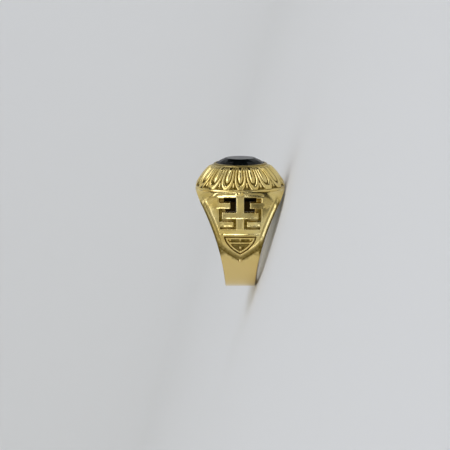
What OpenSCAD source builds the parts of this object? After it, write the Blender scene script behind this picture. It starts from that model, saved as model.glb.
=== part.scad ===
// A gold class-style ring with an oval black onyx, lying on its side.
// The ring is drawn upright first, with the finger along X, the shoulders at -Y and +Y and the stone
// at +Z, and the module lie() then lays it down. Sizes are in millimetres.

/* [Finger hole] */
// Inside diameter of the ring
bore_d = 19; // [18:0.1:20]

/* [Shank] */
// Thickness of the plain shank at its lowest point
shank_t = 1.6; // [1.4:0.05:1.8]
// Width of the shank at its lowest point
shank_w = 6.1; // [5.8:0.1:6.4]
// Radius of the arc by which each side of the ring flares from the shank to the head
flare_r = 38.2; // [38:0.1:39]

/* [Shoulders] */
// Radius of the raised shoulders, seen along the finger
shoulder_r = 12; // [11.9:0.05:12.2]
// Height of the shoulders' centre above the finger's centre
shoulder_up = 1; // [0.9:0.05:1.1]
// Depth of the fret's channels
channel_depth = 0.6; // [0.4:0.05:0.7]
// Depth of the field of each shield
shield_depth = 0.35; // [0.2:0.05:0.5]

/* [Head] */
// Length of the head along the finger
head_l = 18.48; // [18:0.02:18.8]
// Width of the head across the finger
head_w = 16.8; // [16.4:0.1:17]
// Height of the bezel's rim above the finger's centre
rim_z = 14.4; // [14.2:0.05:14.6]
// Tongues in the ornament round the head
tongues = 18; // [14:2:20]
// Height of the ornament above its ground
relief = 0.4; // [0.3:0.02:0.5]

/* [Stone] */
// Length of the stone along the finger
stone_l = 9.6; // [9.4:0.1:10]
// Width of the stone
stone_w = 8.1; // [7.8:0.1:8.3]
// Height of the stone's crown above the rim
crown_h = 1; // [0.7:0.05:1.2]
// Gap between the stone and its seat
seat_gap = 0.06; // [0.04:0.01:0.1]

/* [Hidden] */
gold = [0.83, 0.68, 0.33];
onyx = [0.03, 0.04, 0.04];
bore_r = bore_d / 2;
shank_up = 0.3;
shank_r = bore_r + shank_t + shank_up;
low_z = shank_up - shank_r;
far = 20;
cut_from = 8;

// The band's top plane, under the dome, and the balls that round its outer edges into rails and
// its top corners into the foot of the head, as [radius, height of the centre]
band_top_z = 9.6;
rail_low_z = -2.5;
round_balls = [[12.93, 2.6], [17.55, -5]];

// Where the raised shoulder ends in a V: half of the outline, from outside the wall, as [x, z]
v_edge = [[6, 0.95], [3.41, -1.65], [1.45, -3], [0, -3.85]];
bead_r = 0.32;

// The shield: half of its outline, top first, as [x, z]
shield_half = [[3.3, 1.3], [3.05, 0.35], [2.5, -0.55], [1.2, -1.8], [0, -2.45]];
shield_line = 0.28;
shield_border = 0.55;
bar_z = [-0.3, 0.2];
stud_r = 0.24;
stud_at = [[-2, 0.55], [0, 0.55], [2, 0.55]];
lozenge_side = 0.62;
lozenge_z = -1;

// The fret's channels on the right of the centre bar, as [x from, x to, z from, z to]
bar_half = 0.82;
wall_half = 4.15;
recesses = [
    [3.2, 4.2, 7.75, 8.4],
    [2.9, wall_half, 5.95, 6.5],
    [3.65, wall_half, 4.2, 6.5],
    [bar_half, wall_half, 4.2, 4.6],
    [bar_half, 1.3, 2.75, 4.6],
    [bar_half, 3.95, 2.75, 3.1]];
openings = [
    [bar_half, 1.9, 5.95, 8.5],
    [bar_half, 3.2, 7.75, 8.5],
    [bar_half, 2.9, 5.95, 6.5]];

// The hollow of the head, half of its outline as [x, z], and its reach from the shoulders' centre
hollow_half = [[4, 4.8], [7.2, 9.2], [7.2, 11.5]];
shoulder_wall = 1.5;
hollow_r = shoulder_r - shoulder_wall;

// The dome: rings of the plain parts as [z, half length, half width, squareness]
tongue_sides = 10;
dome_sides = tongues * tongue_sides;
dome_foot = [
    [7.6, 8, 7.6, 2.6],
    [8.9, 9, 8.3, 2.6],
    [9.4, head_l / 2 - 0.02, head_w / 2, 2.6],
    [9.75, head_l / 2, head_w / 2, 2.6],
    [9.9, head_l / 2 - 0.15, head_w / 2 - 0.15, 2.55]];
dome_low_z = 9.3;
rim_wall = 0.3;
rim_half_l = stone_l / 2 + rim_wall;
rim_half_w = stone_w / 2 + rim_wall;
dome_fall = 1.27;
band_z = [10.02, 13.72];
ground_sink = 0.2;
lip_z = [13.8, 13.95, 14.2];
band_rows = [0, 0.08, 0.16, 0.24, 0.32, 0.4, 0.5, 0.62, 0.75, 0.88, 1];
function dome_share(z) =
    pow(1 - pow((z - dome_low_z) / (rim_z - dome_low_z), dome_fall), 1 / dome_fall);
function dome_ring(z, sink) =
    [z, rim_half_l + (head_l / 2 - rim_half_l) * dome_share(z) - sink,
     rim_half_w + (head_w / 2 - rim_half_w) * dome_share(z) - sink,
     2.55 - 0.45 * (z - dome_low_z) / (rim_z - dome_low_z)];

// Height of the ornament at a place: s runs across one tongue and v up the band, each from 0 to 1.
// An egg stands in a U-shaped frame, and a dart stands between the frames.
function bump(d, half) = abs(d) >= half ? 0 : 1 - pow(d / half, 2);
function tongue_height(s, v) =
    let (across = abs(s - 0.5) / 0.5,
         down = max(0.62 - v, 0) / 0.62,
         out = sqrt(across * across + down * down),
         egg = out < 0.37 ? sqrt(1 - pow(out / 0.37, 2)) : 0,
         frame = 0.85 * bump(out - 0.6, 0.21),
         dart = v > 0.05 && v < 0.7 ? 0.75 * bump(1 - across, 0.2) : 0)
    max(egg, frame, dart) * min(1, (1 - v) / 0.12);
function oval_reach(ring, a) =
    pow(pow(abs(cos(a)) / ring[1], ring[3]) + pow(abs(sin(a)) / ring[2], ring[3]), -1 / ring[3]);
function ring_points(ring, sides) =
    [for (i = [0 : sides - 1])
        let (a = 360 * i / sides, out = oval_reach(ring, a)) [out * cos(a), out * sin(a), ring[0]]];
function relief_points(v) =
    let (ring = dome_ring(band_z[0] + (band_z[1] - band_z[0]) * v, ground_sink))
    [for (i = [0 : dome_sides - 1])
        let (a = 360 * i / dome_sides,
             h = relief * tongue_height((i % tongue_sides) / tongue_sides, v) * (1 + 0.15 * v),
             out = oval_reach(ring, a) + h)
        [out * cos(a), out * sin(a), ring[0]]];

// The stone's seat and the stone: rings as [z, half length, half width, squareness]
girdle_z = rim_z - 0.02;
girdle_t = 0.25;
pocket_sides = 32;
stone_sides = 16;
table_share = 0.63;
pavilion_h = 2;
keel_share = 0.3;
crown_step = [0.55, 0.84];
pocket_share = 0.75;
function grown(ring, by) = [ring[0], ring[1] + by, ring[2] + by, ring[3]];
girdle_low = [girdle_z - girdle_t, stone_l / 2, stone_w / 2, 2];
keel = [girdle_low[0] - pavilion_h, keel_share * stone_l / 2, keel_share * stone_w / 2, 2];
pocket_foot = girdle_low[0] - pavilion_h * pocket_share;
pocket_hole = 0.5;

// How the ring lies: it rests on the head's end and on the edge of the shank
rest_head = [dome_foot[2][1], dome_foot[2][0]];
rest_shank = [shank_w / 2, low_z];
lie_turn = 90 - atan((rest_head[0] - rest_shank[0]) / (rest_head[1] - rest_shank[1]));
lie_up = rest_shank[0] * sin(lie_turn) - rest_shank[1] * cos(lie_turn);
table_edge = [table_share * stone_l / 2, girdle_z + crown_h];
lie_front = table_edge[0] * cos(lie_turn) + table_edge[1] * sin(lie_turn);
lie_back = -rest_shank[0] * cos(lie_turn) + rest_shank[1] * sin(lie_turn);

module lie() {
    translate([-(lie_front + lie_back) / 2, 0, lie_up])
        rotate([0, lie_turn, 0])
            children();
}

// Closed solid through rings of equal counts, from the lowest to the highest
module loft(rings) {
    n = len(rings[0]);
    top = (len(rings) - 1) * n;
    polyhedron(
        points = [for (ring = rings) for (p = ring) p],
        faces = [
            [for (i = [0 : n - 1]) i],
            for (k = [0 : len(rings) - 2]) for (i = [0 : n - 1])
                let (j = (i + 1) % n)
                each [[k * n + i, (k + 1) * n + j, k * n + j],
                      [k * n + i, (k + 1) * n + i, (k + 1) * n + j]],
            [for (i = [n - 1 : -1 : 0]) top + i]]);
}

// Cylinder along the finger
module across(r, half_l, up = 0) {
    translate([-half_l, 0, up])
        rotate([0, 90, 0])
            cylinder(r = r, h = 2 * half_l, $fn = 120);
}

// Flat outline in X and Z, extruded across the ring from y0 to y1
module through(y0, y1) {
    translate([0, y1, 0])
        rotate([90, 0, 0])
            linear_extrude(y1 - y0)
                children();
}

// Outline whose right half is given
module both_sides(half) {
    n = len(half);
    polygon(concat(half, [for (i = [n - 1 : -1 : 0]) if (half[i][0] > 0) [-half[i][0], half[i][1]]]));
}

// What its children cut on the one shoulder, cut on both
module both_shoulders() {
    children();
    mirror([0, 1, 0]) children();
}

// Shank with raised shoulders, whose walls flare towards the head
module band() {
    difference() {
        union() {
            across(shank_r, far, shank_up);
            intersection() {
                across(shoulder_r, far - 1, shoulder_up);
                above_the_v();
            }
        }
        for (side = [0, 1])
            mirror([side, 0, 0])
                translate([shank_w / 2 + flare_r, far + 1, low_z])
                    rotate([90, 0, 0])
                        cylinder(r = flare_r, h = 2 * far + 2, $fn = 240);
        for (ball = round_balls)
            difference() {
                translate([-far, -far, rail_low_z]) cube([2 * far, 2 * far, far]);
                translate([0, 0, ball[1]]) sphere(r = ball[0], $fn = 120);
            }
        translate([-far, -far, band_top_z]) cube(2 * far);
    }
}

module above_the_v() {
    through(-far, far)
        polygon(concat(
            [[far, far], [far, v_edge[0][1]]], v_edge,
            [for (i = [2 : -1 : 0]) [-v_edge[i][0], v_edge[i][1]]],
            [[-far, v_edge[0][1]], [-far, far]]));
}

module strips(list) {
    for (side = [-1, 1])
        for (s = list)
            translate([side > 0 ? s[0] : -s[1], s[2]])
                square([s[1] - s[0], s[3] - s[2]]);
}

module channels() {
    difference() {
        through(cut_from, far) strips(recesses);
        across(shoulder_r - channel_depth, far, shoulder_up);
    }
}

// The shield's field, sunk round a plain bar, three studs and a lozenge
module shield_field() {
    difference() {
        through(cut_from, far)
            difference() {
                both_sides(shield_half);
                offset(delta = -shield_line) both_sides(shield_half);
            }
        across(shoulder_r - shield_depth, far, shoulder_up);
    }
    difference() {
        through(cut_from, far)
            difference() {
                offset(delta = -shield_border) both_sides(shield_half);
                translate([-far, bar_z[0]]) square([2 * far, bar_z[1] - bar_z[0]]);
                for (at = stud_at) translate(at) circle(r = stud_r, $fn = 24);
                translate([0, lozenge_z]) rotate(45) square(lozenge_side, center = true);
            }
        across(shoulder_r - shield_depth, far, shoulder_up);
    }
}

module tip_bead() {
    z = v_edge[3][1];
    translate([0, sqrt(shank_r * shank_r - pow(z - shank_up, 2)) + 0.05, z])
        sphere(r = bead_r, $fn = 24);
}

module head_hollow() {
    intersection() {
        through(-far, far) both_sides(hollow_half);
        across(hollow_r, far, shoulder_up);
    }
}

module dome() {
    rings = concat(
        [for (ring = dome_foot) ring_points(ring, dome_sides)],
        [for (v = band_rows) relief_points(v)],
        [for (ring = [dome_ring(lip_z[0], ground_sink), dome_ring(lip_z[1], 0), dome_ring(lip_z[2], 0)])
            ring_points(ring, dome_sides)],
        [ring_points([rim_z, rim_half_l, rim_half_w, 2], dome_sides)]);
    loft(rings);
}

module stone_pocket() {
    wide = grown(girdle_low, seat_gap);
    foot = grown([pocket_foot, 0.5 * stone_l / 2, 0.5 * stone_w / 2, 2], 0.1);
    loft([for (ring = [
        [hollow_half[2][1] - pocket_hole, foot[1], foot[2], 2],
        foot,
        wide,
        [rim_z + 1, wide[1], wide[2], 2]]) ring_points(ring, pocket_sides)]);
}

module ring_casting() {
    color(gold)
        lie()
            difference() {
                union() {
                    difference() {
                        band();
                        both_shoulders() {
                            channels();
                            shield_field();
                        }
                    }
                    dome();
                    both_shoulders() tip_bead();
                }
                across(bore_r, far);
                head_hollow();
                stone_pocket();
                both_shoulders() through(cut_from / 2, far) strips(openings);
            }
}

// Oval cut stone: a table, a crown in two rows of facets, a thin girdle and a pavilion
module onyx_stone() {
    crown_ring = [girdle_z + crown_step[0] * crown_h, crown_step[1] * stone_l / 2,
                  crown_step[1] * stone_w / 2, 2];
    color(onyx)
        lie()
            loft([
                ring_points(keel, stone_sides),
                ring_points(girdle_low, stone_sides),
                ring_points([girdle_z, stone_l / 2, stone_w / 2, 2], stone_sides),
                ring_points(crown_ring, stone_sides),
                ring_points([girdle_z + crown_h, table_share * stone_l / 2,
                             table_share * stone_w / 2, 2], stone_sides)]);
}

ring_casting();
onyx_stone();
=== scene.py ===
"""Looks of a gold ring with an oval black onyx, which lies on its side.

The ring's shapes are worked out upright, in its own axes: the finger along X, the shoulders at -Y and
+Y, the stone at +Z, in millimetres. LIE then lays them down as the CAD model lies, in metres.
"""

import math

import bmesh
import bpy
import numpy as np
import openvdb
from mathutils import Matrix, Vector


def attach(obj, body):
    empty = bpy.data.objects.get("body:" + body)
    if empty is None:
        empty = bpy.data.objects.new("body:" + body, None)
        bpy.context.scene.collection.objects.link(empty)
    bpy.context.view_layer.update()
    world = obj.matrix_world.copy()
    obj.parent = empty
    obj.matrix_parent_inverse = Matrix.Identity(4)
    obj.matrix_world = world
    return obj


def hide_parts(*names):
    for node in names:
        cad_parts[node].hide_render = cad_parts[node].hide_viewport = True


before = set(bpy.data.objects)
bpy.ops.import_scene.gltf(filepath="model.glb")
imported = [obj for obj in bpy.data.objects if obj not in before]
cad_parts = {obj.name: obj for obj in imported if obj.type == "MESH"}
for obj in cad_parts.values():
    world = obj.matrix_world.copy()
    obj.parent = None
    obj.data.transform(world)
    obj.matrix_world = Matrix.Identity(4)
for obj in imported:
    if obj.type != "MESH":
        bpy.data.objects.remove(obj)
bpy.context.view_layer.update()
MM = 0.001

# Shank, walls and shoulders, as in the CAD model
BORE_R = 9.5
SHANK_T = 1.6
SHANK_UP = 0.3
SHANK_R = BORE_R + SHANK_T + SHANK_UP
SHANK_W = 6.1
LOW_Z = SHANK_UP - SHANK_R
FLARE_R = 38.2
SHOULDER_R = 12.0
SHOULDER_UP = 1.0
BAND_TOP_Z = 9.6

# The shoulders fall away along the finger by x * x / SHOULDER_FALL
SHOULDER_FALL = 120

# The ball that rounds the shoulders' top corners, and the height from which it does
CORNER_R = 17.55
CORNER_UP = -5.0
CORNER_LOW_Z = -2.5
CORNER_FADE = (0, 0.8)

# Half of the V where the raised shoulder ends, and half of the shield, from the outside in as (x, z)
V_EDGE = ((6, 0.95), (3.41, -1.65), (1.45, -3), (0, -3.85))
V_TIP_Z = V_EDGE[3][1]
SHIELD = ((3.3, 1.3), (3.05, 0.35), (2.5, -0.55), (1.2, -1.8), (0, -2.45))
SHIELD_TOP_Z = SHIELD[0][1]
SHIELD_DEPTH = 0.35

# Where the shield's groove and field begin and end, as ranges of the distance from its outline
GROOVE_START = (-0.14, 0.02)
GROOVE_STOP = (-0.3, -0.16)
FIELD_START = (-0.72, -0.52)

# What stands up in the shield's field: a bar, three studs in a row and a lozenge
CHARGE_RISE = 0.9
CHARGE_SIDE = (-0.14, 0.1)
SHIELD_BAR = (-9, 9, -0.3, 0.2)
STUD_X = 2.0
STUD_Z = 0.55
STUD_R = 0.26
LOZENGE_Z = -1.0
LOZENGE_HALF = 0.31

# The fret on the right of its centre bar, as (x from, x to, z from, z to)
BAR_HALF = 0.82
WALL_HALF = 4.15
RECESSES = (
    (3.2, 4.2, 7.75, 8.4),
    (2.9, WALL_HALF, 5.95, 6.5),
    (3.65, WALL_HALF, 4.2, 6.5),
    (BAR_HALF, WALL_HALF, 4.2, 4.6),
    (BAR_HALF, 1.3, 2.75, 4.6),
    (BAR_HALF, 3.95, 2.75, 3.1),
)
OPENINGS = (
    (BAR_HALF, 1.9, 5.95, 8.5),
    (BAR_HALF, 3.2, 7.75, 8.5),
    (BAR_HALF, 2.9, 5.95, 6.5),
)
CHANNEL_DEPTH = 0.6

# Near the fret, the edges of its channels are rounded by nearly a quarter of an ellipse
FRET_BOX = (-9, WALL_HALF, 1.6, 8.6)
FRET_FADE = (0.55, 0.8)
ROUNDING_WIDTH = 0.22
ROUNDING_DROP = 0.16
ROUNDING_END = 0.98

# Bars of the fret, as (z from, z to, x from, x to, width of the facet along the lower edge). One that
# starts below 0 goes across the centre bar.
BARS = (
    (8.5, 9.5, 0.85, 5.2, 0.4),
    (6.5, 7.75, 1.9, 5.4, 0.21),
    (4.6, 5.95, -1, 3.65, 0.2),
    (3.1, 4.2, 1.3, 4.1, 0.21),
    (1.5, 2.75, -1, 4.2, 0.19),
)
# The facets' slope, how far above a bar's edge they start, and how the bars' two ends fade
FACET_TILT = math.radians(46.5)
FACET_UP = 0.1
BAR_END = 0.1
BAR_FADE = 1

# Section of each rail, as (distances in from the wall, depths below the shoulder): first the side
# along the wall, then the groove and the bevelled plaque beyond the rail's ridge
RAIL_OUTER = ((0, 0.3), (0.36, 0))
RAIL_INNER = ((0.3, 0.72, 0.95, 1.28), (0, 0.15, 0.2, 0.08))
# Where the rails come in and where the plaque fades out, and how it comes in above the V
RAIL_FADE_Z = (-3.6, -2)
PLAQUE_FADE_Z = (7.8, 9.2)
PLAQUE_FROM_V = 1.0
PLAQUE_V_SLOPE = 0.3

# How far and how wide the surface falls away along the V
V_DROP = 0.16
V_DROP_WIDTH = 1.1
V_DROP_CURVE = 1.5

# Half of the hollow head's outline as (x, z), and its reach from the shoulders' centre
HOLLOW = ((4, 4.8), (7.2, 9.2), (7.2, 11.5))
HOLLOW_LOW_Z = HOLLOW[0][1]
HOLLOW_ROOF_Z = HOLLOW[2][1]
SHOULDER_WALL = 1.5
HOLLOW_R = SHOULDER_R - SHOULDER_WALL
PIERCED_FROM_Y = 4

# The domed head. The ornament goes 0.3 mm higher than in the CAD model.
HEAD_HALF_L = 9.24
HEAD_HALF_W = 8.4
RIM_Z = 14.4
RIM_HALF_L = 5.1
RIM_HALF_W = 4.35
DOME_LOW_Z = 9.3
DOME_FALL = 1.27
DOME_SQUARE = 2.55
DOME_SQUARE_FALL = 0.45
DOME_SLOPE = 1.05
DOME_SLOPE_CURVE = 1.3
NEARLY_TOP = 0.9999
BAND_Z = (10.02, 14.02)
TONGUES = 18
RELIEF = 0.4
RELIEF_GROWTH = 0.15
GROUND_SINK = 0.2

# The head's foot, which widens upwards from FOOT_LOW_Z, as (least half size, what it grows by)
FOOT_LOW_Z = 7.6
FOOT_H = 1.8
FOOT_L = (8, 1.22)
FOOT_W = (7.6, 0.8)
FOOT_CURVE = 0.7
FOOT_SQUARE = 2.6

# One tongue of the ornament: radii in shares of its half width, rises in shares of RELIEF, and
# places up the band in shares of its height. The frame's U is straight above U_BEND_V.
U_BEND_V = 0.6
U_RADIUS_V = 0.7
EGG_R = 0.47
FRAME_R = 0.76
FRAME_HALF = 0.21
FRAME_RISE = 0.92
DART_HALF = 0.2
DART_RISE = 0.6
DART_START = (0.04, 0.12)
DART_STOP = (0.25, 0.4)
TONGUE_TOP = 0.1
GROUND_START = (-0.04, 0.02)
GROUND_STOP = (1.01, 1.06)

# The bead at the V's tip, and the oval nail head at the centre bar's top, whose place is (y, z).
# Being stretched, the nail's field overstates distances and is scaled by NAIL_SHARE.
BEAD_R = 0.4
BEAD_OUT = 0.1
NAIL_AT = (8.72, 9.3)
NAIL_R = 0.42
NAIL_STRETCH = 1.5
NAIL_SHARE = 0.8

# The stone, with the CAD model's sizes and more facets
STONE_HALF_L = 4.8
STONE_HALF_W = 4.05
STONE_SIDES = 16
GIRDLE_Z = RIM_Z - 0.02
GIRDLE_T = 0.25
CROWN_H = 1.0
CROWN_STEP = (0.55, 0.84)
TABLE_SHARE = 0.63
PAVILION_H = 2.0
PAVILION_STEP = (0.45, 0.72)
KEEL_SHARE = 0.3
STONE_BEVEL = 0.025

# The stone's pocket, which narrows down to half the stone's size and opens into the hollow head
SEAT_GAP = 0.06
POCKET_FOOT_L = STONE_HALF_L / 2 + 0.1
POCKET_FOOT_W = STONE_HALF_W / 2 + 0.1
POCKET_SHARE = 0.75
POCKET_HOLE = 0.5

# Widths over which the casting's surfaces run into each other
CREASE = 0.06
BEAD_CREASE = 0.08
FINE = 0.1
EDGE = 0.12
FLOOR = 0.15
SOFT = 0.2
ROUND = 0.3
BORE_EDGE = 0.35
ROOF = 0.4
WIDE = 0.5

# How far outside a form its field is still worked out
NEAR = 0.3
FAR = 0.5

# What keeps a division from being by 0
TINY = 1e-6

# How the ring lies: it rests on the head's end and on the edge of the shank
REST_HEAD = (HEAD_HALF_L - 0.02, 9.4)
REST_SHANK = (SHANK_W / 2, LOW_Z)
LIE_TURN = math.pi / 2 - math.atan((REST_HEAD[0] - REST_SHANK[0]) / (REST_HEAD[1] - REST_SHANK[1]))
LIE_UP = REST_SHANK[0] * math.sin(LIE_TURN) - REST_SHANK[1] * math.cos(LIE_TURN)
TABLE_EDGE = (TABLE_SHARE * STONE_HALF_L, GIRDLE_Z + CROWN_H)
LIE_FRONT = TABLE_EDGE[0] * math.cos(LIE_TURN) + TABLE_EDGE[1] * math.sin(LIE_TURN)
LIE_BACK = -REST_SHANK[0] * math.cos(LIE_TURN) + REST_SHANK[1] * math.sin(LIE_TURN)
LIE = (
    Matrix.Scale(MM, 4)
    @ Matrix.Translation((-(LIE_FRONT + LIE_BACK) / 2, 0, LIE_UP))
    @ Matrix.Rotation(LIE_TURN, 4, "Y")
)


# Fields are distances in millimetres, negative inside the metal or inside the form that they describe


def smooth_max(a, b, r):
    """The larger of two fields, run together where they differ by less than r."""
    h = np.maximum(r - np.abs(a - b), 0)
    return np.maximum(a, b) + h * h / (4 * r)


def smooth_min(a, b, r):
    return -smooth_max(-a, -b, r)


def smooth_step(low, high, t):
    t = np.clip((t - low) / (high - low), 0, 1)
    return t * t * (3 - 2 * t)


def bump(d, half):
    """Rounded bump, 1 at d = 0 and 0 from half onwards."""
    return np.clip(1 - (d / half) ** 2, 0, 1)


def below_line(x, z, a, b):
    """Distance below the line from a to b, which runs outwards; negative above it."""
    along = math.hypot(b[0] - a[0], b[1] - a[1])
    return ((x - a[0]) * (b[1] - a[1]) - (z - a[1]) * (b[0] - a[0])) / along


def convex_v(x, z, points):
    """Field of the region above a V whose right half is given from the outside in."""
    out = None
    for outer, inner in zip(points, points[1:]):
        side = below_line(x, z, inner, outer)
        out = side if out is None else smooth_max(out, side, ROUND)
    return out


def rectangle(x, z, x0, x1, z0, z1):
    """Field of a rectangle from x0 to x1 and from z0 to z1."""
    dx = np.maximum(x0 - x, x - x1)
    dz = np.maximum(z0 - z, z - z1)
    outside = np.hypot(np.maximum(dx, 0), np.maximum(dz, 0))
    return outside + np.minimum(np.maximum(dx, dz), 0)


def strips(x, z, rows):
    """Field of several rectangles together."""
    return np.minimum.reduce([rectangle(x, z, *row) for row in rows])


def oval(x, y, half_l, half_w, square):
    """Field of an upright oval, which is an ellipse where square is 2 and squarer above that."""
    flat = np.hypot(x, y) + TINY
    reach = ((x / flat / half_l) ** square + (y / flat / half_w) ** square) ** (-1 / square)
    return flat - reach


def wall_field(x, z):
    """Field of what lies between the two flared walls."""
    return FLARE_R - np.hypot(x - SHANK_W / 2 - FLARE_R, z - LOW_Z)


def shield_depth(x, z):
    """Depth of the shield's groove and field below the shoulder."""
    inside = smooth_max(convex_v(x, z, SHIELD), z - SHIELD_TOP_Z, SOFT)
    groove = smooth_step(*GROOVE_STOP, inside) * (1 - smooth_step(*GROOVE_START, inside))
    field = 1 - smooth_step(*FIELD_START, inside)
    studs = np.minimum(np.hypot(x, z - STUD_Z), np.hypot(x - STUD_X, z - STUD_Z)) - STUD_R
    lozenge = (x + np.abs(z - LOZENGE_Z)) / math.sqrt(2) - LOZENGE_HALF
    raised = np.minimum(np.minimum(rectangle(x, z, *SHIELD_BAR), studs), lozenge)
    charge = 1 - smooth_step(*CHARGE_SIDE, raised)
    return SHIELD_DEPTH * np.maximum(groove, field * (1 - CHARGE_RISE * charge))


def bar_relief(x, z):
    """Depth of the bars' faces: each leans in towards a narrow facet along its lower edge."""
    depth = 0
    for low, high, near, far, wide in BARS:
        rise = (low - SHOULDER_UP) / SHOULDER_R
        deep = wide * (math.tan(FACET_TILT) * math.sqrt(1 - rise * rise) - rise)
        start = low + FACET_UP
        face = (high - z) / (high - start - wide)
        facet = (z - start) / wide
        starts = smooth_step(near - BAR_END, near + BAR_END, x)
        stops = smooth_step(far - BAR_FADE, far + BAR_END, x)
        depth = depth + deep * np.clip(np.minimum(face, facet), 0, 1) * (starts * (1 - stops))
    return depth


def rail_relief(inward, v_field, z):
    """Depth of the rails along the walls and the V, and of the plaque between them."""
    outer = np.interp(inward, *RAIL_OUTER) * smooth_step(*RAIL_FADE_Z, z)
    along_v = V_DROP * np.clip(1 + v_field / V_DROP_WIDTH, 0, 1) ** V_DROP_CURVE
    from_v = np.clip(PLAQUE_V_SLOPE * (-v_field - PLAQUE_FROM_V), 0, 1)
    plaque = np.minimum(np.interp(inward, *RAIL_INNER), from_v) * (1 - smooth_step(*PLAQUE_FADE_Z, z))
    return smooth_max(outer, along_v, FINE) + plaque


def band(x, y, z):
    """Shank, raised shoulders and flared walls, with the fret and the shield."""
    shank = np.hypot(y, z - SHANK_UP) - SHANK_R
    shoulder = np.hypot(y, z - SHOULDER_UP) - SHOULDER_R + x * x / SHOULDER_FALL
    wall = wall_field(x, z)
    v_field = convex_v(x, z, V_EDGE)
    # The rails fade out where the ball rounds the shoulders' corners
    corner = np.sqrt(x * x + y * y + (z - CORNER_UP) ** 2) - CORNER_R
    rails = rail_relief(-wall, v_field, z) * smooth_step(*CORNER_FADE, -corner)
    channel = strips(x, z, RECESSES + OPENINGS)
    edge = 1 - np.clip(channel / ROUNDING_WIDTH, 0, 1)
    in_fret = 1 - smooth_step(*FRET_FADE, rectangle(x, z, *FRET_BOX))
    round_bars = ROUNDING_DROP * (1 - np.sqrt(1 - ROUNDING_END * edge * edge)) * in_fret
    surface = shoulder + rails + shield_depth(x, z) + round_bars + bar_relief(x, z)
    surface = smooth_max(surface, v_field, CREASE)
    out = smooth_min(shank, surface, CREASE)
    out = np.where(z > CORNER_LOW_Z, smooth_max(out, corner, WIDE), out)
    out = smooth_max(out, wall, ROUND)
    out = smooth_max(out, z - BAND_TOP_Z, SOFT)
    cut = smooth_max(channel, -CHANNEL_DEPTH - shoulder, FLOOR)
    return smooth_max(out, -cut, EDGE)


def tongue_height(s, v):
    """The ornament's height: an egg in a U-shaped frame, and a dart between the frames."""
    across = np.abs(s - 0.5) / 0.5
    down = np.maximum(U_BEND_V - v, 0) / U_RADIUS_V
    out = np.hypot(across, down)
    egg = np.sqrt(np.clip(1 - (out / EGG_R) ** 2, 0, 1))
    ridge = FRAME_RISE * np.sqrt(bump(out - FRAME_R, FRAME_HALF))
    dart = DART_RISE * bump(1 - across, DART_HALF)
    dart = dart * smooth_step(*DART_START, v) * (1 - smooth_step(*DART_STOP, v))
    return np.maximum(np.maximum(egg, ridge), dart) * np.minimum(1, np.maximum(1 - v, 0) / TONGUE_TOP)


def dome_parts(x, y, z):
    """The dome's field; then the ornament's height, and where its ground lies, from 0 to 1."""
    t = np.clip((z - DOME_LOW_Z) / (RIM_Z - DOME_LOW_Z), 0, 1)
    share = (1 - np.minimum(t, NEARLY_TOP) ** DOME_FALL) ** (1 / DOME_FALL)
    half_l = RIM_HALF_L + (HEAD_HALF_L - RIM_HALF_L) * share
    half_w = RIM_HALF_W + (HEAD_HALF_W - RIM_HALF_W) * share
    v = (z - BAND_Z[0]) / (BAND_Z[1] - BAND_Z[0])
    turn = np.degrees(np.arctan2(y, x)) / (360 / TONGUES)
    height = tongue_height(turn - np.floor(turn), np.clip(v, 0, 1)) * (v > 0) * (v < 1)
    sunk = smooth_step(*GROUND_START, v) * (1 - smooth_step(*GROUND_STOP, v))
    relief = RELIEF * (1 + RELIEF_GROWTH * v) * height - GROUND_SINK * sunk
    # The dome flattens towards its top, where the distance across overstates the true one
    lean = 1 / np.sqrt(1 + (DOME_SLOPE * t ** DOME_SLOPE_CURVE) ** 2)
    dome = (oval(x, y, half_l, half_w, DOME_SQUARE - DOME_SQUARE_FALL * t) - relief) * lean
    return dome, height, sunk


def foot(x, y, z):
    """The head's foot, which narrows downwards into the band."""
    grown = np.clip((z - FOOT_LOW_Z) / FOOT_H, 0, 1) ** FOOT_CURVE
    return oval(x, y, FOOT_L[0] + FOOT_L[1] * grown, FOOT_W[0] + FOOT_W[1] * grown, FOOT_SQUARE)


def head(x, y, z):
    dome = dome_parts(x, y, z)[0]
    out = smooth_max(dome, foot(x, y, z), EDGE)
    out = smooth_max(out, z - RIM_Z, EDGE)
    return smooth_max(out, FOOT_LOW_Z - z, FINE)


def cavity(x, y, z):
    """Field of the hollow head, negative in the hollow."""
    low, corner, top = HOLLOW
    out = smooth_max(z - top[1], x - corner[0], ROOF)
    out = smooth_max(out, below_line(x, z, low, corner), ROUND)
    out = smooth_max(out, low[1] - z, SOFT)
    return smooth_max(out, np.hypot(y, z - SHOULDER_UP) - HOLLOW_R, WIDE)


def seat(x, y, z):
    """Field of the stone's pocket, negative where the stone goes."""
    girdle_low = GIRDLE_Z - GIRDLE_T
    foot_z = girdle_low - PAVILION_H * POCKET_SHARE
    t = np.clip((z - foot_z) / (girdle_low - foot_z), 0, 1)
    half_l = POCKET_FOOT_L + (STONE_HALF_L + SEAT_GAP - POCKET_FOOT_L) * t
    half_w = POCKET_FOOT_W + (STONE_HALF_W + SEAT_GAP - POCKET_FOOT_W) * t
    flat = np.hypot(x, y) + TINY
    reach = 1 / np.hypot(x / flat / half_l, y / flat / half_w)
    return np.maximum(flat - reach, HOLLOW_ROOF_Z - POCKET_HOLE - z)


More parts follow.
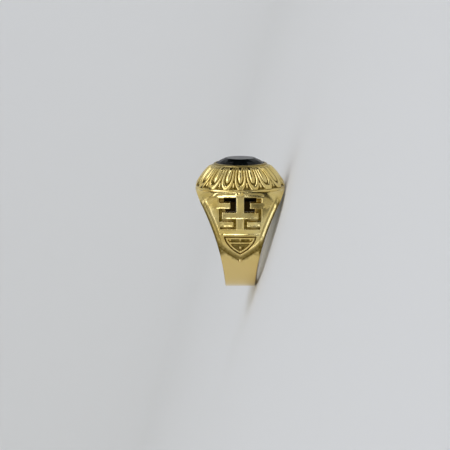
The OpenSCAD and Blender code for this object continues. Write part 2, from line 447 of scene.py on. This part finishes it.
def casting(x, y, z):
    """The whole casting's field. It is worked out for the quarter where x and y are above 0."""
    x, y = np.abs(x), np.abs(y)
    out = band(x, y, z)
    high = z > FOOT_LOW_Z - NEAR
    out[high] = smooth_min(out[high], head(x[high], y[high], z[high]), FINE)
    bead_y = math.sqrt(SHANK_R ** 2 - (V_TIP_Z - SHANK_UP) ** 2) + BEAD_OUT
    bead = np.sqrt(x * x + (y - bead_y) ** 2 + (z - V_TIP_Z) ** 2) - BEAD_R
    out = smooth_min(out, bead, BEAD_CREASE)
    nail = np.sqrt((x / NAIL_STRETCH) ** 2 + (y - NAIL_AT[0]) ** 2 + (z - NAIL_AT[1]) ** 2) - NAIL_R
    out = smooth_min(out, NAIL_SHARE * nail, EDGE)
    out = smooth_max(out, BORE_R - np.hypot(y, z), BORE_EDGE)
    cut = z > HOLLOW_LOW_Z - FAR
    x, y, z = x[cut], y[cut], z[cut]
    inner = np.minimum(cavity(x, y, z), seat(x, y, z))
    pierced = np.maximum(strips(x, z, OPENINGS), PIERCED_FROM_Y - y)
    out[cut] = smooth_max(smooth_max(out[cut], -inner, FINE), -pierced, SOFT)
    return out


# Patina lies in what is sunk. Along the rails and the V, and inside the hollow head, the same darkening
# is painted shade. The pairs below are ranges over which it comes or goes, and a skin is how near a
# surface a place counts as being on it.
DARKENING_Z = (-4.3, 9)

# In the fret: across a channel's side, and in x where it thins out and where the channels end
FRET_SIDE = (-0.08, 0.1)
FRET_THINNING = 0.4
FRET_THIN_X = (1.4, 2.4)
FRET_END_X = (3.3, 3.6)
FRET_END_TOP_Z = 6.5

# In the shield's groove and field
SHIELD_PATINA = 0.9

# Along the rails, painted shade in lines as (distance in from the wall, half width, strength), down to
# a depth below the shoulder: the first darkens the rounded side along the wall, the second the groove
# inside the ridge
RAIL_LINES = ((0.2, 0.34, 1), (0.93, 0.26, 0.7))
RAIL_SHADE_Z = (-3.2, -2)
SIDE_BELOW = (0.55, 1.0)

# Along the V, painted shade: a line as (distance above it, half width), a paler strip above it, and
# none on the bead
V_LINE = (0.06, 0.38)
ABOVE_V = 0.85
ABOVE_V_WIDTH = (0.5, 1.2)
TIP_CLEAR = (0.3, 0.5)

# On the head: below a share of the ornament's height, less of it near the top, and on the bezel
GROUND_BELOW = (0.1, 0.65)
GROUND_THINNING = 0.6
GROUND_THIN_Z = (13.5, 13.95)
BEZEL_PATINA = 0.75
BEZEL_Z = (14.0, 14.15)
DOME_SKIN = 0.8

# Painted shade inside the hollow head and on the finger hole's roof, so that what the openings
# show is dark
HOLLOW_EDGE = (0.0, 0.15)
HOLLOW_BORE_Z = (0.5, 2.7)
BORE_SKIN_IN = 0.05
BORE_SKIN_OUT = 0.02


def fret_patina(x, z, below):
    """Patina in the fret, which begins at half the channels' depth."""
    in_fret = 1 - smooth_step(*FRET_SIDE, strips(x, z, RECESSES + OPENINGS))
    fret = in_fret * smooth_step(CHANNEL_DEPTH / 2, CHANNEL_DEPTH, below) * (z < DARKENING_Z[1])
    # It is thinner away from the centre bar, but not in the lower channels' ends
    away = smooth_step(*FRET_THIN_X, x)
    end = smooth_step(*FRET_END_X, x) * (z < FRET_END_TOP_Z)
    return fret * (1 - FRET_THINNING * away * (1 - end))


def edge_painted_shade(x, z, below):
    """Painted shade along both sides of the rails' ridges and along the V, but not on the bead at its
    tip.
    """
    on_side = (z < DARKENING_Z[1]) * (z > DARKENING_Z[0]) * (1 - smooth_step(*SIDE_BELOW, below))
    inward = -wall_field(x, z)
    lines = [strength * bump(inward - at, half) for at, half, strength in RAIL_LINES]
    rail = np.maximum.reduce(lines) * on_side * smooth_step(*RAIL_SHADE_Z, z)
    v_field = convex_v(x, z, V_EDGE)
    above_v = ABOVE_V * (1 - smooth_step(*ABOVE_V_WIDTH, -v_field)) * (v_field < 0)
    v_line = np.maximum(bump(v_field + V_LINE[0], V_LINE[1]), above_v)
    from_tip = np.sqrt(x * x + (z - V_TIP_Z) ** 2)
    return np.maximum(rail, v_line * on_side * smooth_step(*TIP_CLEAR, from_tip))


def head_patina(x, y, z):
    """Patina on the ornament's ground, thinner at its top, and a duller bezel."""
    dome, height, sunk = dome_parts(x, y, z)
    thinned = 1 - GROUND_THINNING * smooth_step(*GROUND_THIN_Z, z)
    ground = sunk * (1 - smooth_step(*GROUND_BELOW, height)) * thinned
    bezel = BEZEL_PATINA * smooth_step(*BEZEL_Z, z)
    return np.maximum(ground, bezel) * (z > BAND_TOP_Z) * (dome > -DOME_SKIN)


def patina_and_shade_of(x, y, z):
    """How much patina and painted shade a place holds, and how deep inside the head it is, each 0 to 1.
    """
    x, y = np.abs(x), np.abs(y)
    below = SHOULDER_R - np.hypot(y, z - SHOULDER_UP)
    shield = SHIELD_PATINA * shield_depth(x, z) / SHIELD_DEPTH * (below < 1)
    from_finger = np.hypot(y, z)
    inner = np.minimum(cavity(x, y, z), seat(x, y, z))
    # Painted shade: the hollow head's inside, and the finger hole's roof under the head, are darkened
    hollow = (1 - smooth_step(*HOLLOW_EDGE, inner)) * (from_finger > BORE_R - BORE_SKIN_IN)
    under_head = smooth_step(*HOLLOW_BORE_Z, z) * (from_finger < BORE_R + BORE_SKIN_OUT)
    hollow = np.maximum(hollow, under_head)
    darkening = np.maximum.reduce(
        [fret_patina(x, z, below), edge_painted_shade(x, z, below), head_patina(x, y, z), shield, hollow])
    return np.clip(darkening, 0, 1), hollow


# Meshes

# The grid of the casting's field, in millimetres and with a margin in cells, and the mesh made of it
GRID_STEP = 0.085
GRID_ROOM = 0.1
GRID_MARGIN = 3
GRID_DETAIL = 0.004
MOST_TRIANGLES = 185000
SETTLE_ROUNDS = 3
LEAST_SLOPE = 0.05


def slope_of(field, p, step=0.01):
    """Gradient of a field at points p, by central differences."""
    slopes = []
    for axis in range(3):
        ahead, behind = p.copy(), p.copy()
        ahead[:, axis] += step
        behind[:, axis] -= step
        slopes.append((field(*ahead.T) - field(*behind.T)) / (2 * step))
    return np.stack(slopes, 1)


def mesh_of_field(field, half, low_z, high_z):
    """Points, quads and triangles of a field that is the same on both sides of X = 0 and Y = 0."""
    nx, ny = (int(math.ceil(h / GRID_STEP)) + GRID_MARGIN for h in half)
    nz = int(math.ceil((high_z - low_z) / GRID_STEP)) + 2 * GRID_MARGIN
    reach = GRID_MARGIN * GRID_STEP
    x, y = np.arange(nx) * GRID_STEP, np.arange(ny) * GRID_STEP
    z = low_z - reach + np.arange(nz) * GRID_STEP
    grid = np.broadcast_arrays(x[:, None, None], y[None, :, None], z[None, None, :])
    quarter = field(*(a.astype(np.float32) for a in grid))
    half_grid = np.concatenate([quarter[:0:-1], quarter])
    whole = np.concatenate([half_grid[:, :0:-1], half_grid], 1)
    volume = openvdb.FloatGrid(reach)
    volume.copyFromArray(np.clip(whole, -reach, reach))
    points, triangles, quads = volume.convertToPolygons(isovalue=0.0, adaptivity=GRID_DETAIL)
    origin = np.array([-(nx - 1) * GRID_STEP, -(ny - 1) * GRID_STEP, z[0]])
    return points * GRID_STEP + origin, quads, triangles


def settle(points, field):
    """Moves points onto the zero surface of a field, by at most one grid step a round."""
    for _ in range(SETTLE_ROUNDS):
        slope = slope_of(field, points)
        size = np.maximum((slope ** 2).sum(1), LEAST_SLOPE)
        move = -(field(*points.T) / size)[:, None] * slope
        far = np.linalg.norm(move, axis=1, keepdims=True)
        points = points + move * np.minimum(1, GRID_STEP / np.maximum(far, TINY))
    return points


def new_object(name, mesh):
    made = bpy.data.objects.new(name, mesh)
    bpy.context.scene.collection.objects.link(made)
    return made


def thin_out(made, ratio):
    """Gives an object a mesh with a share of its triangles, and returns that mesh."""
    made.modifiers.new("thin", "DECIMATE").ratio = ratio
    graph = bpy.context.evaluated_depsgraph_get()
    mesh = bpy.data.meshes.new_from_object(made.evaluated_get(graph))
    made.modifiers.clear()
    made.data = mesh
    return mesh


def build_casting():
    half = (HEAD_HALF_L + GRID_ROOM, SHOULDER_R + GRID_ROOM)
    points, quads, triangles = mesh_of_field(casting, half, LOW_Z, RIM_Z)
    fine = bpy.data.meshes.new("ring_casting_fine")
    fine.from_pydata(points.tolist(), [], quads.tolist() + triangles.tolist())
    made = new_object("ring_body", fine)
    mesh = thin_out(made, min(1, MOST_TRIANGLES / (2 * len(quads) + len(triangles))))
    co = np.empty(len(mesh.vertices) * 3)
    mesh.vertices.foreach_get("co", co)
    co = settle(co.reshape(-1, 3), casting)
    normals = slope_of(casting, co)
    normals /= np.linalg.norm(normals, axis=1, keepdims=True)
    mesh.vertices.foreach_set("co", co.ravel())
    # The first attribute holds patina and painted shade, the second the painted shade inside the head
    for name, values in zip(("patina_and_shade_mask", "hollow"), patina_and_shade_of(*co.T)):
        mesh.attributes.new(name, "FLOAT", "POINT").data.foreach_set("value", values.astype(np.float32))
    mesh.transform(LIE)
    turn = np.array(LIE.to_3x3().normalized())
    mesh.shade_smooth()
    mesh.normals_split_custom_set_from_vertices((normals @ turn.T).tolist())
    mesh.update()
    return made


def stone_ring(z, share, sides, turn=0.0):
    """Points of one ring of the stone, share of its girdle's size, turned by a share of one side."""
    points = []
    for i in range(sides):
        a = 2 * math.pi * (i + turn) / sides
        reach = 1 / math.hypot(math.cos(a) / STONE_HALF_L, math.sin(a) / STONE_HALF_W)
        points.append((share * reach * math.cos(a), share * reach * math.sin(a), z))
    return points


def build_stone():
    """Oval cut stone: the facets of a table, a crown in two rows, a girdle and a pavilion."""
    crown_z = GIRDLE_Z + CROWN_STEP[0] * CROWN_H
    girdle_low = GIRDLE_Z - GIRDLE_T
    rings = (
        stone_ring(GIRDLE_Z + CROWN_H, TABLE_SHARE, STONE_SIDES, 0.5),
        stone_ring(crown_z, CROWN_STEP[1], STONE_SIDES),
        stone_ring(GIRDLE_Z, 1, 2 * STONE_SIDES),
        stone_ring(girdle_low, 1, 2 * STONE_SIDES),
        stone_ring(girdle_low - PAVILION_STEP[0] * PAVILION_H, PAVILION_STEP[1], STONE_SIDES, 0.5),
        stone_ring(girdle_low - PAVILION_H, KEEL_SHARE, STONE_SIDES),
    )
    bm = bmesh.new()
    for ring in rings:
        for point in ring:
            bm.verts.new(point)
    bmesh.ops.convex_hull(bm, input=bm.verts)
    bmesh.ops.dissolve_limit(bm, angle_limit=math.radians(0.5), verts=bm.verts, edges=bm.edges)
    bmesh.ops.bevel(
        bm, geom=list(bm.edges), offset=STONE_BEVEL, segments=2, affect="EDGES", profile=0.6)
    bmesh.ops.recalc_face_normals(bm, faces=bm.faces)
    mesh = bpy.data.meshes.new("onyx_cut")
    bm.to_mesh(mesh)
    bm.free()
    mesh.transform(LIE)
    return new_object("onyx_cut", mesh)


obj = build_casting()
stone = build_stone()


# Materials

GOLD_WORN = (0.84, 0.63, 0.25)
GOLD_BRIGHT = (0.88, 0.72, 0.3)
GOLD_DEEP = (0.80, 0.59, 0.17)
# Colour of the patina, which also paints shade along the rails and the V
PATINA_AND_SHADE = (0.12, 0.075, 0.002)
# Colour of the painted shade inside the hollow head
HOLLOW_SHADE = (0.045, 0.028, 0.009)
ONYX_DARK = (0.001, 0.0015, 0.0015)
ONYX_PALE = (0.004, 0.006, 0.006)
ONYX_IOR = 1.54
ONYX_SPECULAR = 0.13
STAGE_ROUGHNESS = 0.8
STAGE_SPECULAR = 0.2
# The shank's worn gold gives way to the patched gold between these places on world X, in millimetres
SHANK_TONE_X = (-7, -1)
# The range in which nearly all of a noise's values lie
NOISE_RANGE = (0.3, 0.7)


def fill_ramp(node, stops):
    """Gives a colour ramp its stops, as (position, colour)."""
    elements = node.color_ramp.elements
    while len(elements) < len(stops):
        elements.new(0.5)
    for element, (position, colour) in zip(elements, stops):
        element.position = position
        element.color = (*colour, 1)


class Nodes:
    """Shorthand for building one material's node tree."""

    def __init__(self, name):
        self.mat = bpy.data.materials.new(name)
        self.mat.use_nodes = True
        self.tree = self.mat.node_tree
        self.shader = self.tree.nodes["Principled BSDF"]
        self.place = self.add("ShaderNodeTexCoord").outputs["Object"]

    def add(self, kind, **values):
        node = self.tree.nodes.new(kind)
        for name, value in values.items():
            setattr(node, name, value)
        return node

    def feed(self, value, socket):
        """Links a socket to what feeds it, or sets it to a number or a colour."""
        if isinstance(value, bpy.types.NodeSocket):
            self.tree.links.new(value, socket)
        elif isinstance(value, tuple):
            socket.default_value = (*value, 1)
        else:
            socket.default_value = value

    def shade(self, name, value):
        self.feed(value, self.shader.inputs[name])

    def noise(self, per_mm, detail, roughness=0.5):
        node = self.add("ShaderNodeTexNoise")
        self.feed(per_mm / MM, node.inputs["Scale"])
        self.feed(detail, node.inputs["Detail"])
        self.feed(roughness, node.inputs["Roughness"])
        self.feed(self.place, node.inputs["Vector"])
        return node.outputs["Fac"]

    def attribute(self, name):
        return self.add("ShaderNodeAttribute", attribute_name=name).outputs["Fac"]

    def math(self, operation, a, b):
        node = self.add("ShaderNodeMath", operation=operation)
        self.feed(a, node.inputs[0])
        self.feed(b, node.inputs[1])
        return node.outputs[0]

    def remap(self, value, span, to_low, to_high):
        """Maps what lies in a span onto the range from to_low to to_high."""
        node = self.add("ShaderNodeMapRange")
        self.feed(value, node.inputs["Value"])
        for name, number in zip(("From Min", "From Max", "To Min", "To Max"), (*span, to_low, to_high)):
            self.feed(number, node.inputs[name])
        return node.outputs["Result"]

    def ramp(self, value, stops):
        node = self.add("ShaderNodeValToRGB")
        fill_ramp(node, stops)
        self.feed(value, node.inputs["Fac"])
        return node.outputs["Color"]

    def mix(self, factor, a, b):
        node = self.add("ShaderNodeMix", data_type="RGBA")
        self.feed(factor, node.inputs["Factor"])
        for value, socket in zip((a, b), self.colour_sockets(node.inputs)):
            self.feed(value, socket)
        return self.colour_sockets(node.outputs)[0]

    def colour_sockets(self, sockets):
        return [socket for socket in sockets if socket.type == "RGBA"]

    def bump(self, height, depth_mm):
        node = self.add("ShaderNodeBump")
        self.feed(1.0, node.inputs["Strength"])
        self.feed(depth_mm * MM, node.inputs["Distance"])
        self.feed(height, node.inputs["Height"])
        return node.outputs["Normal"]


def gold_material():
    """Polished yellow gold, darker and duller in patina and painted shade, with faint waves and a fine
    grain.
    """
    n = Nodes("gold")
    n.shade("Metallic", 1)
    patina_and_shade_mask, hollow = n.attribute("patina_and_shade_mask"), n.attribute("hollow")
    clouds = n.noise(per_mm=0.25, detail=3)
    patches = n.ramp(clouds, ((0.35, GOLD_DEEP), (0.65, GOLD_BRIGHT)))
    along = n.add("ShaderNodeSeparateXYZ")
    n.feed(n.place, along.inputs[0])
    on_shank = n.remap(along.outputs["X"], [x * MM for x in SHANK_TONE_X], 1, 0)
    tone = n.mix(on_shank, patches, GOLD_WORN)
    spots = n.noise(per_mm=2.2, detail=4, roughness=0.6)
    patina_and_shade = n.math("MULTIPLY", patina_and_shade_mask, n.remap(spots, NOISE_RANGE, 0.75, 1.1))
    # Patina, and painted shade along the rails, the V and inside the hollow head
    tone = n.mix(patina_and_shade, tone, PATINA_AND_SHADE)
    # The hollow head's inside is painted near black as shade
    n.shade("Base Color", n.mix(hollow, tone, HOLLOW_SHADE))
    smears = n.noise(per_mm=0.9, detail=4, roughness=0.6)
    polish = n.remap(smears, NOISE_RANGE, 0.11, 0.2)
    rough = n.math("ADD", polish, n.math("MULTIPLY", patina_and_shade_mask, 0.25))
    n.shade("Roughness", n.math("ADD", rough, n.math("MULTIPLY", hollow, 0.3)))
    waves = n.noise(per_mm=0.35, detail=1)
    grain = n.math("MULTIPLY", n.noise(per_mm=4, detail=3, roughness=0.6), 0.12)
    n.shade("Normal", n.bump(n.math("ADD", waves, grain), depth_mm=0.02))
    return n.mat


def onyx_material():
    """Polished black onyx, whose body has a faint cloudy variation."""
    n = Nodes("onyx")
    clouds = n.noise(per_mm=0.4, detail=4, roughness=0.6)
    n.shade("Base Color", n.ramp(clouds, ((0.35, ONYX_DARK), (0.7, ONYX_PALE))))
    n.shade("IOR", ONYX_IOR)
    n.shade("Specular IOR Level", ONYX_SPECULAR)
    n.shade("Roughness", n.remap(n.noise(per_mm=1.5, detail=3), NOISE_RANGE, 0.015, 0.05))
    return n.mat


def stage_material(name, tone):
    """Matt neutral material of the floor and the cards."""
    mat = bpy.data.materials.new(name)
    mat.use_nodes = True
    shader = mat.node_tree.nodes["Principled BSDF"]
    shader.inputs["Base Color"].default_value = (tone, tone, tone, 1)
    shader.inputs["Roughness"].default_value = STAGE_ROUGHNESS
    shader.inputs["Specular IOR Level"].default_value = STAGE_SPECULAR
    return mat


obj.data.materials.append(gold_material())
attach(obj, "root")
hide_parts("ring_casting")
stone.data.materials.append(onyx_material())
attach(stone, "root")
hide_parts("onyx_stone")


# Camera, stage and light

# The camera sees the ring's shoulder as the photo does, with the stone at the image's top
VIEW_MM = 300.0
VIEW_UP = math.radians(10.5)
AIM = Vector((0, 0, 2))
SENSOR = 36
LENS = 116.9
CLIP_START = 0.01
# The image's side and the place in it of what the camera aims at, in pixels
IMAGE_SIDE = 450
AIM_PIXEL = (240.2, 222.15)

# The floor, and the wall behind the ring into which it bends up
STAGE_TONE = 0.75
STAGE_HALF = 2.5
BEND_Y = 0.35
BEND_R = 0.3
BEND_STEPS = 24
WALL_TOP = 1.2
WALL_END_X = 0.6

# Light colours. The lights and cards have directions in the upright ring's own axes, and distances
# and sizes in metres.
COOL = (0.94, 1, 1.28)
WARM = (1, 1, 0.9)

# The world's strength, and what polished surfaces see of it: tones by how far a direction lies
# towards WORLD_DARK, from 0 for straight away from it
WORLD_STRENGTH = 0.48
WORLD_DARK = (0.45, 0.5, 0.866)
WORLD_TONES = (
    (0.0, 0.62),
    (0.1, 0.55),
    (0.25, 0.4),
    (0.45, 0.42),
    (0.7, 0.54),
    (0.8, 0.3),
    (0.88, 0.04),
    (1.0, 0.01),
)


def place_camera():
    data = bpy.data.cameras.new("camera")
    data.sensor_width = SENSOR
    data.lens = LENS
    data.clip_start = CLIP_START
    data.shift_x = (IMAGE_SIDE / 2 - AIM_PIXEL[0]) / IMAGE_SIDE
    data.shift_y = (AIM_PIXEL[1] - IMAGE_SIDE / 2) / IMAGE_SIDE
    cam = new_object("camera", data)
    back = Vector((0, -math.cos(VIEW_UP), math.sin(VIEW_UP)))
    right = Vector((1, 0, 0))
    turn = Matrix((right, back.cross(right), back)).transposed().to_4x4()
    place = LIE @ Matrix.Translation(AIM + VIEW_MM * back) @ turn
    cam.matrix_world = Matrix.LocRotScale(place.to_translation(), place.to_quaternion(), None)
    bpy.context.scene.camera = cam


def build_stage():
    """Pale floor that bends up into a wall behind the ring, and goes on flat on the stone's side."""
    profile = [(-STAGE_HALF, 0.0)]
    for i in range(BEND_STEPS + 1):
        a = math.pi / 2 * i / BEND_STEPS
        profile.append((BEND_Y + BEND_R * math.sin(a), BEND_R * (1 - math.cos(a))))
    profile.append((BEND_Y + BEND_R, WALL_TOP))
    verts = [(x, y, z) for x in (-STAGE_HALF, WALL_END_X) for y, z in profile]
    n = len(profile)
    faces = [(i, n + i, n + i + 1, i + 1) for i in range(n - 1)]
    for x, side in ((WALL_END_X, -1), (STAGE_HALF, -1), (STAGE_HALF, 1), (WALL_END_X, 1)):
        verts.append((x, side * STAGE_HALF, 0))
    faces.append((2 * n, 2 * n + 1, 2 * n + 2, 2 * n + 3))
    mesh = bpy.data.meshes.new("floor")
    mesh.from_pydata(verts, [], faces)
    mesh.shade_smooth()
    floor = new_object("floor", mesh)
    mesh.materials.append(stage_material("floor", STAGE_TONE))


def put_facing(made, direction, distance):
    """Puts a light or card out in a direction, facing the ring, with its width along the finger."""
    made.location = LIE @ (Vector(direction).normalized() * distance / MM)
    back = (LIE.to_3x3() @ Vector(direction)).normalized()
    along = LIE.to_3x3() @ Vector((1, 0, 0))
    right = (along - along.dot(back) * back).normalized()
    made.rotation_euler = Matrix((right, back.cross(right), back)).transposed().to_euler()


def soft_light(name, direction, distance, size, radiance, tone, shines=True):
    """Rectangular light, which polished surfaces see if it shines."""
    data = bpy.data.lights.new(name, "AREA")
    data.shape = "RECTANGLE"
    data.size, data.size_y = size
    data.energy = radiance * math.pi * size[0] * size[1]
    data.color = tone
    lamp = new_object(name, data)
    put_facing(lamp, direction, distance)
    lamp.visible_glossy = shines


def card(name, direction, distance, size, tone):
    """Card that only the polished surfaces see."""
    w, h = size[0] / 2, size[1] / 2
    mesh = bpy.data.meshes.new(name)
    mesh.from_pydata([(-w, -h, 0), (w, -h, 0), (w, h, 0), (-w, h, 0)], [], [(0, 1, 2, 3)])
    mesh.materials.append(stage_material(name, tone))
    made = new_object(name, mesh)
    put_facing(made, direction, distance)
    made.visible_camera = False
    made.visible_diffuse = False
    made.visible_shadow = False


def build_world():
    """Even pale light, which polished surfaces see shaded, darkest beyond the stone and behind."""
    world = bpy.data.worlds.new("world")
    bpy.context.scene.world = world
    world.use_nodes = True
    nodes, links = world.node_tree.nodes, world.node_tree.links
    even = nodes["Background"]
    even.inputs["Color"].default_value = (*WARM, 1)
    even.inputs["Strength"].default_value = WORLD_STRENGTH
    towards = nodes.new("ShaderNodeVectorMath")
    towards.operation = "DOT_PRODUCT"
    towards.inputs[1].default_value = LIE.to_3x3().normalized() @ Vector(WORLD_DARK)
    links.new(nodes.new("ShaderNodeTexCoord").outputs["Generated"], towards.inputs[0])
    share = nodes.new("ShaderNodeMapRange")
    share.inputs["From Min"].default_value = -1
    links.new(towards.outputs["Value"], share.inputs["Value"])
    ramp = nodes.new("ShaderNodeValToRGB")
    fill_ramp(ramp, [(position, (tone, tone, tone)) for position, tone in WORLD_TONES])
    links.new(share.outputs["Result"], ramp.inputs["Fac"])
    shaded = nodes.new("ShaderNodeBackground")
    links.new(ramp.outputs["Color"], shaded.inputs["Color"])
    mix = nodes.new("ShaderNodeMixShader")
    links.new(nodes.new("ShaderNodeLightPath").outputs["Is Glossy Ray"], mix.inputs[0])
    links.new(even.outputs[0], mix.inputs[1])
    links.new(shaded.outputs[0], mix.inputs[2])
    links.new(mix.outputs[0], nodes["World Output"].inputs["Surface"])


place_camera()
build_stage()
soft_light("key", (-0.1, -0.12, 0.98), 1.5, (0.36, 0.2), 4, COOL)
soft_light("upper", (-0.53, -0.3, 0.79), 1.5, (0.55, 0.75), 2, COOL)
soft_light("front", (-0.56, -0.85, 0.45), 1.6, (0.95, 2.1), 1.1, COOL)
soft_light("overhead", (-0.91, -0.3, 0.27), 1.6, (1.0, 1.0), 1.0, WARM, False)
card("left_card", (-0.98, -0.12, 0.1), 0.35, (0.3, 0.3), 0.01)
card("right_card", (0.15, -0.85, 0.35), 0.4, (0.08, 0.4), 0.2)
card("corner_card", (-0.63, 0.22, 0.74), 0.5, (0.42, 0.36), 0.9)
card("back_card", (0, 1, 0.22), 0.45, (0.6, 0.14), 0.66)
build_world()
bpy.context.scene.view_settings.view_transform = "Standard"
